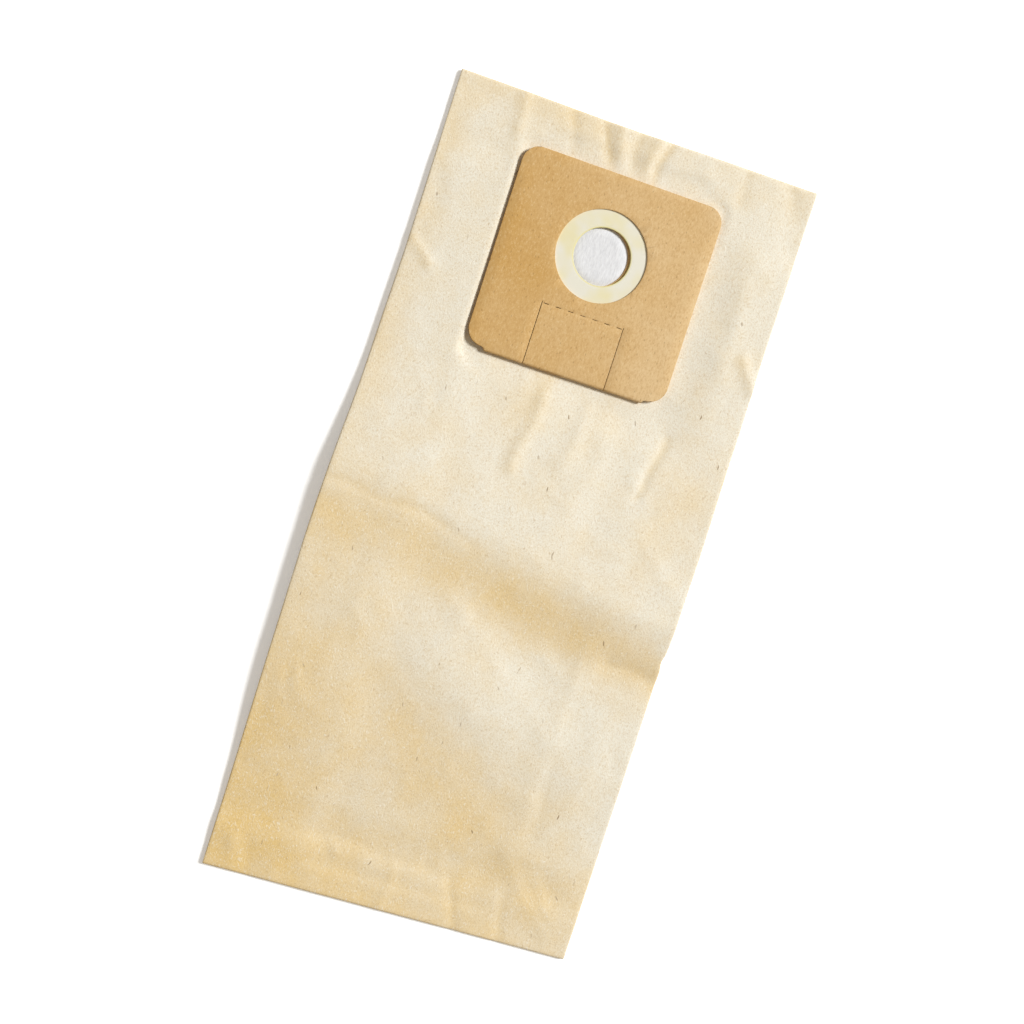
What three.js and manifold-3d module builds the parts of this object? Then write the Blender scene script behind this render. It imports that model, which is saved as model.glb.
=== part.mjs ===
// A paper dust bag for a vacuum cleaner, empty and lying on its back.
// It is a gusseted two-ply tube: a paper bag with a fleece lining inside it. Both ends are pressed flat,
// folded over and glued underneath. A folded card collar is glued on the front, and a rubber sealing ring is
// held between its two leaves.
// Millimetres. +X runs across the bag, +Y along it towards the collar end, +Z up out of the collar. The
// origin is on the surface that the bag lies on, under the middle of its outline.

import * as THREE from "three";
import { mergeVertices } from "three/addons/utils/BufferGeometryUtils.js";
import Module from "manifold-3d";

// Bag
const bagWidth = 230;
const bagLength = 500;
const paperThickness = 0.25;
const fleeceThickness = 0.3;
const plyGap = 0.3;
const seamLap = 14; // width of the glued overlap along the back
const seamFromMiddle = 30;
const endFlap = 35; // length of the pressed end that is folded under
const endFlapThickness = 1.1;
const pressedStack = 2.2; // all the plies at a pressed end, one on another
const gluedEnd = 12; // the last stretch of each end, where glue fills between the plies

// Collar card, folded double along its lower edge
const cardWidth = 128;
const cardHeight = 127;
const cardThickness = 1;
const cardCorner = 9;
const cardFromEnd = 29; // from the bag's end to the card's upper edge
const cardToGusset = 4; // from the card's side edge to the gusset's inner fold
const foldInset = 13; // from the card's side edge to the end of its fold
const foldProud = 2.2; // the fold stands this far past the lower corners, with a quarter round up to them
const frontHole = 57.5;
const rearHole = 36;
const rearHoleShift = -2; // the rear leaf is folded a little askew, so its hole lies beside the ring's
const holeFromCardTop = 49.5; // to the middle of the front hole
const bagHoleMargin = 2; // the hole in the bag is this much wider all round than the rear leaf's

// Tongue cut in the card's front leaf
const tabWidth = 52;
const tabBelowHole = 9; // from the hole's edge to the perforation
const cutWidth = 0.4;
const cutPastDashes = 1; // the side cuts run this far above the perforation
const dashCount = 7;
const dashLength = 3.4;
const dashFromCut = 2.6; // from each side cut to the middle of the nearest dash

// Sealing ring
const sealHole = 35;
const sealThickness = 0.8;
const sealGrip = 9.25; // how far the ring reaches in between the leaves

// How the bag lies: a crest stays where it was folded in half, and the lower half is softly swollen
const crestLeftY = -6;
const crestRightY = -44;
const crestLeftHeight = 6;
const crestRightHeight = 10;
const crestRise = 1.2; // power of the long rise from the card down to the crest
const crestLeftFall = 48; // lengths over which the side below the crest falls away
const crestRightFall = 26;
const crestRounding = 0.1;
const landing = 60; // the swollen half comes down to the pressed end over this length
const seatMargin = 1; // level paper round the card
const seatFade = 12;
const middleSlack = 0.8; // the middle, with fewer plies, lies this much lower than the gusseted sides
const swells = [
  { x: -12, y: -98, turn: -28, length: 62, breadth: 22, height: 2.2 },
  { x: 26, y: -168, turn: -12, length: 70, breadth: 26, height: 2 },
];

// Heights in the open stack of plies, measured up from the lap of the seam
const wall = paperThickness + plyGap + fleeceThickness;
const wallPair = 2 * wall + plyGap;
const backSkin = paperThickness;
const lowerLeafSkin = backSkin + wallPair;
const upperLeafSkin = lowerLeafSkin + plyGap;
const frontSkin = upperLeafSkin + wallPair;
const middleOfStack = (lowerLeafSkin + upperLeafSkin) / 2;
const pressedShare = pressedStack / frontSkin;

// Places across the bag
const halfWidth = bagWidth / 2;
const sideRound = wallPair / 2;
const noseX = halfWidth - sideRound;
const gussetFold = cardWidth / 2 + cardToGusset; // inner fold of each gusset
const besideGusset = gussetFold - wall - plyGap;
const seatEdge = (cardWidth + seatMargin) / 2;
const seamNear = seamFromMiddle - seamLap / 2;
const seamFar = seamFromMiddle + seamLap / 2;

// Places along the bag
const halfLength = bagLength / 2;
const flapLine = halfLength - endFlap;
const glueLine = halfLength - gluedEnd;
const endHeight = endFlapThickness + pressedStack;
const endRound = endHeight / 2;
const cardTop = halfLength - cardFromEnd;
const cardFoldY = cardTop - cardHeight;
const holeY = cardTop - holeFromCardTop;
const bagHole = rearHole / 2 + bagHoleMargin; // radius
const pressFade = flapLine - holeY - bagHole; // the bag opens fully between the flap and its hole
const seatTop = cardTop + seatMargin + seatFade;
const liftStart = cardFoldY - seatMargin - seatFade;
const liftEnd = pressFade - flapLine;
const crestMiddleY = (crestLeftY + crestRightY) / 2;

// Heights of the card and the ring
const cardSeat = backSkin + wallPair; // top of the paper under the card, where only two walls lie
const rearLeafZ = cardSeat + plyGap;
const sealZ = rearLeafZ + cardThickness + plyGap;
const sealTopZ = sealZ + sealThickness;
const frontLeafZ = sealTopZ + plyGap;
const cardTopZ = frontLeafZ + cardThickness;

const quarter = Math.PI / 2;
const past = 1; // how far a cutter reaches past what it cuts
const roundSides = 40; // flats on a round hole
const minRow = 1.5; // rows of the tube lie at least this far apart

const wasm = await Module();
wasm.setup();

const clamp = (t) => Math.min(1, Math.max(0, t));
const smooth = (t) => clamp(t) ** 2 * (3 - 2 * clamp(t));
const mix = (a, b, t) => a + (b - a) * t;

// The lesser of two values, with a rounded meeting
function softMin(a, b, rounding) {
  const t = clamp(0.5 + (b - a) / (2 * rounding));
  return mix(b, a, t) - rounding * t * (1 - t);
}

// 0 at the pressed ends, 1 where the bag is open
const openness = (y) => smooth((flapLine - Math.abs(y)) / pressFade);

// Place of the crest, and how far across the bag a point is, from 0 at the left
const across = (x) => smooth((x + halfWidth) / bagWidth);
const crestLine = (x) => mix(crestLeftY, crestRightY, across(x));

// One soft oval rise
function swell(x, y, s) {
  const turn = THREE.MathUtils.degToRad(s.turn);
  const along = (x - s.x) * Math.cos(turn) + (y - s.y) * Math.sin(turn);
  const beside = (y - s.y) * Math.cos(turn) - (x - s.x) * Math.sin(turn);
  return s.height * Math.exp(-((along / s.length) ** 2) - (beside / s.breadth) ** 2);
}

// Height of the whole bag off the surface
function lift(x, y) {
  if (y >= liftStart) return 0;
  const fromCrest = y - crestLine(x);
  const fall = mix(crestLeftFall, crestRightFall, across(x));
  const up = ((liftStart - y) / (liftStart - crestLine(x))) ** crestRise;
  const down = fromCrest < 0 ? Math.exp(fromCrest / fall) : 1 + fromCrest / fall;
  const crest = mix(crestLeftHeight, crestRightHeight, across(x)) * softMin(up, down, crestRounding);
  const swollen = swells.reduce((sum, s) => sum + swell(x, y, s), Math.max(0, crest));
  return swollen * smooth((y + flapLine) / landing);
}

// 1 between the gussets, 0 over them
const betweenGussets = (x) => clamp((besideGusset - Math.abs(x)) / (besideGusset - seatEdge));

// 1 under the card, 0 past the fade at its upper and lower edges
const underCard = (y) => clamp(Math.min(seatTop - y, y - liftStart) / seatFade);

// Where a point of the open stack lies in the bag at rest
function settle(x, y, stackHeight) {
  const share = mix(pressedShare, 1, openness(y));
  const level = endFlapThickness * (1 - openness(y)) + lift(x, y);
  const z = level + stackHeight * share;
  if (stackHeight <= middleOfStack) return z;
  const seated = underCard(y) * (level + frontSkin * share - cardSeat);
  const slack = (1 - underCard(y)) * middleSlack * smooth((glueLine - Math.abs(y)) / seatFade);
  return z - betweenGussets(x) * (seated + slack);
}

// Half of a skin's outline at one depth in the wall, from beside the back's middle to the front's middle
function halfOutline(depth) {
  const middle = [0, cardWidth / 4, seatEdge];
  const side = [gussetFold, (gussetFold + noseX) / 2, noseX];
  const leaf = side.slice(1);
  const points = [];
  const row = (places, z) => places.forEach((x) => points.push(new THREE.Vector2(x, z)));
  const crease = [halfWidth - depth];
  const gussetEdge = gussetFold + plyGap / 2;
  row([seatEdge, ...side], backSkin + depth);
  row(crease, backSkin + sideRound);
  row([...leaf.toReversed(), gussetEdge], lowerLeafSkin - depth);
  row([gussetFold - depth], middleOfStack);
  row([gussetEdge, ...leaf], upperLeafSkin + depth);
  row(crease, upperLeafSkin + sideRound);
  row([...side.toReversed(), besideGusset, ...middle.toReversed()], frontSkin - depth);
  return points;
}

// A whole outline. The glued seam's lap is a step under the back of the outermost skin.
function outline(depth) {
  const back = [[-cardWidth / 4, backSkin + depth], [seamNear, backSkin + depth]];
  if (depth === 0) back.push([seamNear, 0], [seamFar, 0]);
  back.push([seamFar, backSkin + depth]);
  const right = halfOutline(depth);
  const left = right.slice(0, -1).reverse().map((p) => new THREE.Vector2(-p.x, p.y));
  return [...back.map(([x, z]) => new THREE.Vector2(x, z)), ...right, ...left];
}

// Stations along the bag, from the collar end down, close together where its shape changes
function stationsTo(end) {
  const fade = pressFade / 2;
  const marks = [
    glueLine, seatTop, cardTop + seatMargin, flapLine, flapLine - fade, -liftEnd, cardFoldY - seatMargin,
    liftStart, crestMiddleY, liftEnd, fade - flapLine, -flapLine, -glueLine,
  ];
  const steps = 7;
  for (let i = 1; i < steps; i++) {
    const t = (i / steps) ** 1.5;
    marks.push(mix(crestMiddleY, liftStart, t), mix(crestMiddleY, liftEnd, t));
  }
  const inside = marks.filter((y) => Math.abs(y) < end - minRow).sort((a, b) => b - a);
  const spaced = inside.filter((y, i) => i === 0 || inside[i - 1] - y > minRow);
  return [end, ...spaced, -end];
}

// A row bends along the crest near it, and runs straight across the bag elsewhere
function rowY(x, station) {
  const reach = station > crestMiddleY ? liftStart - crestMiddleY : crestMiddleY - liftEnd;
  const nearness = clamp(1 - Math.abs(station - crestMiddleY) / reach);
  return station + (crestLine(x) - crestMiddleY) * nearness;
}

function toSolid(geometry) {
  const bare = geometry.clone();
  bare.deleteAttribute("normal");
  bare.deleteAttribute("uv");
  const merged = mergeVertices(bare, 1e-4);
  const vertProperties = merged.attributes.position.array;
  const triVerts = new Uint32Array(merged.index.array);
  return new wasm.Manifold(new wasm.Mesh({ numProp: 3, vertProperties, triVerts }));
}

function toGeometry(solid) {
  const mesh = solid.getMesh();
  const geometry = new THREE.BufferGeometry();
  geometry.setAttribute("position", new THREE.BufferAttribute(new Float32Array(mesh.vertProperties), 3));
  geometry.setIndex(new THREE.BufferAttribute(new Uint32Array(mesh.triVerts), 1));
  geometry.computeVertexNormals();
  return geometry;
}

// An outline drawn out along the bag, then laid as the bag lies
function layAlong(points, stations) {
  const steps = stations.length - 1;
  const settings = { depth: steps, steps, bevelEnabled: false };
  const body = new THREE.ExtrudeGeometry(new THREE.Shape(points), settings);
  body.rotateX(quarter);
  const at = body.attributes.position;
  for (let i = 0; i < at.count; i++) {
    const x = at.getX(i);
    const y = rowY(x, stations[Math.round(-at.getY(i))]);
    at.setXYZ(i, x, y, settle(x, y, at.getZ(i)));
  }
  return toSolid(body);
}

// One ply of the tube, between two depths and open at both ends
function plyTube(outerDepth, innerDepth, end) {
  const stations = stationsTo(end);
  const coreStations = [end + past, ...stations.slice(1, -1), -end - past];
  return layAlong(outline(outerDepth), stations).subtract(layAlong(outline(innerDepth), coreStations));
}

// A profile in the plane of Y and Z, drawn out across the bag
function acrossBag(profile, width) {
  const bar = new THREE.ExtrudeGeometry(profile, { depth: width, bevelEnabled: false, curveSegments: 5 });
  bar.translate(0, 0, -width / 2);
  const alongY = new THREE.Vector3(0, 1, 0);
  const alongZ = new THREE.Vector3(0, 0, 1);
  const alongX = new THREE.Vector3(1, 0, 0);
  return bar.applyMatrix4(new THREE.Matrix4().makeBasis(alongY, alongZ, alongX));
}

// The pressed end: the glued stack, its rounded fold and the flap under the back wall
function endFold() {
  const bond = (paperThickness / 2) * pressedShare;
  const flapTop = endFlapThickness + backSkin * pressedShare + bond;
  const top = endHeight - bond;
  const roundY = halfLength - endRound;
  const profile = new THREE.Shape();
  profile.moveTo(flapLine, 0);
  profile.lineTo(roundY, 0);
  profile.absellipse(roundY, top / 2, endRound, top / 2, -quarter, quarter, false, 0);
  profile.lineTo(glueLine, top);
  profile.lineTo(glueLine, flapTop);
  profile.lineTo(flapLine, flapTop);
  profile.closePath();
  return toSolid(acrossBag(profile, bagWidth - 2 * plyGap));
}

// A round cutter round the inlet, between two heights
function plug(radius, x, low, high) {
  const rod = new THREE.CylinderGeometry(radius, radius, high - low, roundSides);
  rod.rotateX(quarter);
  rod.translate(x, holeY, (low + high) / 2);
  return toSolid(rod);
}

// The round hole through the front wall only: it stops in the gap above the back wall
const inletHole = () => plug(bagHole, rearHoleShift, cardSeat - wall - plyGap / 2, cardTopZ);

function paperBag() {
  const tube = plyTube(0, paperThickness, halfLength - endRound);
  const end = endFold();
  return tube.add(end).add(end.rotate([0, 0, 180])).subtract(inletHole());
}

function fleeceLining() {
  return plyTube(paperThickness + plyGap, wall, glueLine - plyGap).subtract(inletHole());
}

// Points without those that fall on the one before them
const distinct = (points) => points.filter((p, i) => i === 0 || p.distanceTo(points[i - 1]) > 0.01);

// One side edge of the folded card: from the fold up on the right, from the top down on the left
function cardEdge(side) {
  const half = cardWidth / 2;
  const lowY = cardFoldY + foldProud;
  const foldEnd = half - foldInset;
  const lowCorner = foldInset - foldProud;
  const corner = new THREE.Path();
  corner.moveTo(foldEnd, cardFoldY - past);
  corner.lineTo(foldEnd, cardFoldY);
  corner.absarc(foldEnd + foldProud, cardFoldY, foldProud, 2 * quarter, quarter, true);
  corner.absarc(half - lowCorner, lowY + lowCorner, lowCorner, -quarter, 0, false);
  corner.absarc(half - cardCorner, cardTop - cardCorner, cardCorner, 0, quarter, false);
  const points = distinct(corner.getPoints(4));
  return side > 0 ? points : points.reverse().map((p) => new THREE.Vector2(-p.x, p.y));
}

// One piece of card: front leaf, fold and rear leaf as a U, trimmed to the outline
function foldedCard() {
  const middleZ = (rearLeafZ + cardTopZ) / 2;
  const outer = (cardTopZ - rearLeafZ) / 2;
  const inner = outer - cardThickness;
  const bendY = cardFoldY + outer;
  const farY = cardTop + past;
  const leaves = new THREE.Shape();
  leaves.moveTo(farY, rearLeafZ);
  leaves.lineTo(farY, rearLeafZ + cardThickness);
  leaves.absarc(bendY, middleZ, inner, 3 * quarter, quarter, true);
  leaves.lineTo(farY, frontLeafZ);
  leaves.lineTo(farY, cardTopZ);
  leaves.absarc(bendY, middleZ, outer, quarter, 3 * quarter, false);
  leaves.closePath();
  const edge = new THREE.Shape([...cardEdge(1), ...cardEdge(-1)]);
  const trim = toSolid(new THREE.ExtrudeGeometry(edge, { depth: 2 * cardTopZ, bevelEnabled: false }));
  return toSolid(acrossBag(leaves, cardWidth + 2 * past)).intersect(trim);
}

// A cut through the front leaf only
function cut(width, length, x, y) {
  const blade = new THREE.BoxGeometry(width, length, cardTopZ);
  blade.translate(x, y, sealTopZ + cardTopZ / 2);
  return toSolid(blade);
}

function collarCard() {
  const perforationY = holeY - frontHole / 2 - tabBelowHole;
  const cutTop = perforationY + cutPastDashes;
  const cutLength = cutTop - cardFoldY + past;
  const cutX = tabWidth / 2;
  const pitch = (tabWidth - 2 * dashFromCut) / (dashCount - 1);
  let card = foldedCard().subtract(plug(frontHole / 2, 0, sealTopZ, cardTopZ + past));
  card = card.subtract(plug(rearHole / 2, rearHoleShift, 0, sealZ));
  for (const x of [-cutX, cutX]) {
    card = card.subtract(cut(cutWidth, cutLength, x, cutTop - cutLength / 2));
  }
  for (let i = 0; i < dashCount; i++) {
    card = card.subtract(cut(dashLength, cutWidth, dashFromCut - cutX + i * pitch, perforationY));
  }
  return card;
}

// A flat rubber ring with a rounded lip round its hole
function sealingRing() {
  const outer = frontHole / 2 + sealGrip;
  const lip = sealThickness / 2;
  const profile = new THREE.Path();
  profile.moveTo(outer, 0);
  profile.lineTo(outer, sealThickness);
  profile.absarc(sealHole / 2 + lip, lip, lip, quarter, 3 * quarter, false);
  profile.lineTo(outer, 0);
  const ring = new THREE.LatheGeometry(profile.getPoints(2), 48);
  ring.rotateX(quarter);
  ring.translate(0, holeY, sealZ);
  return toSolid(ring);
}

const finishes = {
  paper: new THREE.MeshStandardMaterial({ color: 0xe6d3ae, roughness: 0.92, metalness: 0 }),
  fleece: new THREE.MeshStandardMaterial({ color: 0xecebea, roughness: 0.98, metalness: 0 }),
  card: new THREE.MeshStandardMaterial({ color: 0xd6ac72, roughness: 0.85, metalness: 0 }),
  rubber: new THREE.MeshStandardMaterial({ color: 0xece5d0, roughness: 0.6, metalness: 0 }),
};

const dustBag = new THREE.Group();

function addPiece(name, solid, finish) {
  const piece = new THREE.Mesh(toGeometry(solid), finish);
  piece.name = name;
  dustBag.add(piece);
}

addPiece("paper_bag", paperBag(), finishes.paper);
addPiece("fleece_lining", fleeceLining(), finishes.fleece);
addPiece("collar_card", collarCard(), finishes.card);
addPiece("sealing_ring", sealingRing(), finishes.rubber);

export default dustBag;
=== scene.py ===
import math

import bmesh
import bpy
import numpy as np
from mathutils import Matrix, Vector, noise


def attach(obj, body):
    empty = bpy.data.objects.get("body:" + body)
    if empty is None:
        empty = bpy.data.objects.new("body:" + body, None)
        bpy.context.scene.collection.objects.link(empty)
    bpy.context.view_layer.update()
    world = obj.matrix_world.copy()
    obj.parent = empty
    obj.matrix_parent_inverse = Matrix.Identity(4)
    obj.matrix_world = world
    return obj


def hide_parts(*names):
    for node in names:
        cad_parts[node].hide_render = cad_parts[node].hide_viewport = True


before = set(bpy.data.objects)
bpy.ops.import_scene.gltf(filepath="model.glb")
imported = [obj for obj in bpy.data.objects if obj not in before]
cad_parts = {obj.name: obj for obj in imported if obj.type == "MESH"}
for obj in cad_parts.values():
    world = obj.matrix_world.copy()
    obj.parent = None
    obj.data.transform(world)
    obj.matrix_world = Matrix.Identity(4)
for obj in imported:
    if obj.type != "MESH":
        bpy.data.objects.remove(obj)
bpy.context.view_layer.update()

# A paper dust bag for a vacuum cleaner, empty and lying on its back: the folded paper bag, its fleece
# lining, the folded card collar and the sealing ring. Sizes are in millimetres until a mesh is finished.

MM = 0.001

# Bag
BAG_WIDTH = 230
BAG_LENGTH = 500
PAPER = 0.25  # a ply's share of the stack, which its shown thickness keeps within
FLEECE = 0.3
PLY_GAP = 0.3
PAPER_SHOWN = 0.16
FLEECE_SHOWN = 0.2
SEAM_NEAR = 23
SEAM_FAR = 37
SEAM_RETURN = 7
SEAM_STEP = 0.03
END_FLAP = 35
FLAP_THICKNESS = 1.1
FLAP_CLEARANCE = 0.12
PRESSED_STACK = 2.2
GLUED_END = 12

# Collar card
CARD_WIDTH = 128
CARD_HEIGHT = 127
CARD_THICKNESS = 1
CARD_CORNER = 10.5
CARD_TRIM = (0.8, 1.2)  # narrower at the left and shorter at the fold than the CAD's, as the photo shows
CARD_FROM_END = 29
CARD_LIFT = 0.35
CARD_LIFT_FROM = (10, -10)  # from the bag's middle line, and from the middle of the hole
CARD_LIFT_OVER = (60, 70)
CARD_TO_GUSSET = 4
FOLD_INSET = 13
FOLD_PROUD = 2.2
FRONT_HOLE = 57.5
FRONT_HOLE_TRIM = 0.6
FRONT_HOLE_DROP = 0.3
REAR_HOLE = 36
REAR_HOLE_SHIFT = -2
REAR_HOLE_STRAY = (0.7, -0.5)
REAR_DISH = 0.27  # how far the rear leaf dips round its hole
DISH_EDGE = 30
DISH_FADE = 11
HOLE_FROM_CARD_TOP = 49.5
BAG_HOLE_MARGIN = 2
BAG_HOLE_CUT = 1  # the faces this far past the hole's edge go, and the rim they leave is drawn to it
BAG_RIM_REACH = 5

# Tongue cut in the card's front leaf
TAB_WIDTH = 52
TAB_BELOW_HOLE = 9
TAB_MARGIN = (1, 3)  # this far beside and above the tongue, a place still counts as at it
CUT_WIDTH = 0.4
CUT_PAST_DASHES = 1
DASH_COUNT = 7
DASH_LENGTH = 3.4
DASH_FROM_CUT = 2.6

# Sealing ring
SEAL_HOLE = 35
SEAL_THICKNESS = 0.8
SEAL_GRIP = 9.25
SEAL_SHIFT = (0.6, -0.4)
SEAL_RISE = 0.28
SEAL_EASE = 0.1
SEAL_SIDES = 144
LIP_TURN = 18  # degrees between the points round the lip
SEAL_STRIP = 2
SEAL_FLAT_END = 2.2  # the ring's flat face ends this far from its hole

# Fleece in the hole
FLEECE_BULGE = 1.5
BULGE_FADE = 6

# How the bag lies. The crest is where it was folded in half: its place along the bag, its height, and
# how long the fall below it is and what share of the height it takes, at the left and at the right edge.
CREST_LEFT = (1, 6, 42, 0.22)
CREST_RIGHT = (-31, 10, 48, 0.66)
CREST_SOFT = (0.30, 0.10)  # how softly the rise meets the fall, at the left and at the right edge
CREST_RISE = 1.2
RISE_PAST_CREST = 60  # the rise would go on past the crest by its height over this length
FALL_START = 0.1  # the fall's soft step starts with a slope, which keeps the crest crisp
LAST_FALL = 105  # the bag comes down to its lower flap over this length
SEAT_MARGIN = 1  # the paper's seat under the card, and how far it takes to fade
SEAT_FADE = 8
SEAT_FADE_BELOW = 13
SEAT_FADE_BESIDE = 2
MIDDLE_SLACK = 0.8  # how much lower the front lies between the gussets
SLACK_REACH = 24
BESIDE_SHARE = 0.05  # the paper right of the card is pressed down, from one place across to another
BESIDE_FROM = 20
BESIDE_TO = 94
BESIDE_FADE = 32
SWELLS = [
    (4, -106, -30, 72, 26, 2.4),  # x, y, turn in degrees, length, breadth, height
    (-60, -178, 98, 64, 26, 1.2),
    (60, -190, -20, 50, 20, 0.8),
]

# How the outline strays. A step is (from, to, how much) and takes effect from one place along to another.
SHIFT_STEPS = [(20, 120, 1.1), (60, -50, -2.2), (-100, -210, 1.2)]
WIDEN_STEPS = [(70, 0, 0.009), (90, 150, -0.007)]  # shares of the width
BOW = 0.4
BOW_PLACE = (-110, 50)  # where along the bag, and over how far
KINK = -1.2
KINK_PLACE = (-52, 4)
KINK_FROM = 80
END_FROM = 120
UPPER_SLANT = 0.006
UPPER_SET = -0.1
UPPER_DIP = 0.7
UPPER_DIP_PLACE = (-10, 45)
LOWER_SLANT = 0.008
LOWER_SET = -0.9

# How finely the pieces are divided
FINE = 2.1
COARSE = 12
FLAP_STEP = 4
NOSE_STEPS = 9
FOLD_STEPS = 6
FRONT_HOLE_SIDES = 120
REAR_HOLE_SIDES = 96
SLIT_STEPS = 3
CORNER_STEPS = 12
NOTCH_STEPS = 8
CARD_STRIP = 8
CARD_STRIPS_X = (-56, 56)
CARD_STRIPS_Y = (104, 216)
BEND_ROWS = 10
SMALL = 0.01  # a distance below this is none
SHARP_EDGE = 1.2  # radians
CARD_BEVEL = 0.22
SLIT_BEVEL = 0.07

# Studio and camera
FLOOR_REACH = 2500
FLOOR_DROP = 0.03
FLOOR_GLOW = 0.3
FILL_STRENGTH = 0.28
KEY_PLACE = (3880, 2720, 4290)
KEY_WIDTH = 1600
KEY_WATTS = 459
EYE = (-117.5, 46.1, 859.1)
AIM = (-2.9, 8.0, 0)
ROLL = 18.1
LENS = 50
SENSOR = 36

# Heights in the open stack of plies
WALL = PAPER + PLY_GAP + FLEECE
WALL_PAIR = 2 * WALL + PLY_GAP
BACK_SKIN = PAPER
LOWER_LEAF_SKIN = BACK_SKIN + WALL_PAIR
UPPER_LEAF_SKIN = LOWER_LEAF_SKIN + PLY_GAP
FRONT_SKIN = UPPER_LEAF_SKIN + WALL_PAIR
MIDDLE_OF_STACK = (LOWER_LEAF_SKIN + UPPER_LEAF_SKIN) / 2
PRESSED_SHARE = PRESSED_STACK / FRONT_SKIN
FLAP_SHARE = (FLAP_THICKNESS - FLAP_CLEARANCE) / FRONT_SKIN

# Places across and along the bag
HALF_WIDTH = BAG_WIDTH / 2
HALF_LENGTH = BAG_LENGTH / 2
SIDE_ROUND = WALL_PAIR / 2
NOSE_X = HALF_WIDTH - SIDE_ROUND
GUSSET_FOLD = CARD_WIDTH / 2 + CARD_TO_GUSSET
GUSSET_EDGE = GUSSET_FOLD + PLY_GAP / 2
BESIDE_GUSSET = GUSSET_FOLD - WALL - PLY_GAP
SEAT_EDGE = (CARD_WIDTH + SEAT_MARGIN) / 2
FLAP_LINE = HALF_LENGTH - END_FLAP
GLUE_LINE = HALF_LENGTH - GLUED_END
ROUND_Y = HALF_LENGTH - (FLAP_THICKNESS + PRESSED_STACK) / 2
CARD_TOP = HALF_LENGTH - CARD_FROM_END
CARD_FOLD_Y = CARD_TOP - CARD_HEIGHT
HOLE_Y = CARD_TOP - HOLE_FROM_CARD_TOP
BAG_HOLE = REAR_HOLE / 2 + BAG_HOLE_MARGIN
PRESS_FADE = FLAP_LINE - HOLE_Y - BAG_HOLE
SEAT_TOP = CARD_TOP + SEAT_MARGIN + SEAT_FADE
LIFT_START = CARD_FOLD_Y - SEAT_MARGIN - SEAT_FADE_BELOW
END_REACH = HALF_LENGTH - END_FROM
REAR_HOLE_X = REAR_HOLE_SHIFT + REAR_HOLE_STRAY[0]
REAR_HOLE_Y = HOLE_Y + REAR_HOLE_STRAY[1]
PERFORATION = HOLE_Y - FRONT_HOLE / 2 - TAB_BELOW_HOLE

# Heights of the card and the ring
CARD_SEAT = BACK_SKIN + WALL_PAIR
REAR_LEAF_Z = CARD_SEAT + PLY_GAP
SEAL_Z = REAR_LEAF_Z + CARD_THICKNESS + PLY_GAP
FRONT_LEAF_Z = SEAL_Z + SEAL_THICKNESS + PLY_GAP
CARD_TOP_Z = FRONT_LEAF_Z + CARD_THICKNESS

# The card's bend: outside it half the collar's thickness, inside it half the space between the leaves
BEND_OUTER = (CARD_TOP_Z - REAR_LEAF_Z) / 2
BEND_INNER = BEND_OUTER - CARD_THICKNESS
BEND_RADIUS = (BEND_OUTER + BEND_INNER) / 2
BEND_LENGTH = math.pi * BEND_RADIUS
BEND_Z = (CARD_TOP_Z + REAR_LEAF_Z) / 2
TRIMMED_FOLD_Y = CARD_FOLD_Y + CARD_TRIM[1]
BEND_Y = TRIMMED_FOLD_Y + BEND_OUTER
CARD_HALF = (CARD_WIDTH - CARD_TRIM[0]) / 2
CARD_SHIFT = CARD_TRIM[0] / 2

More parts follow.
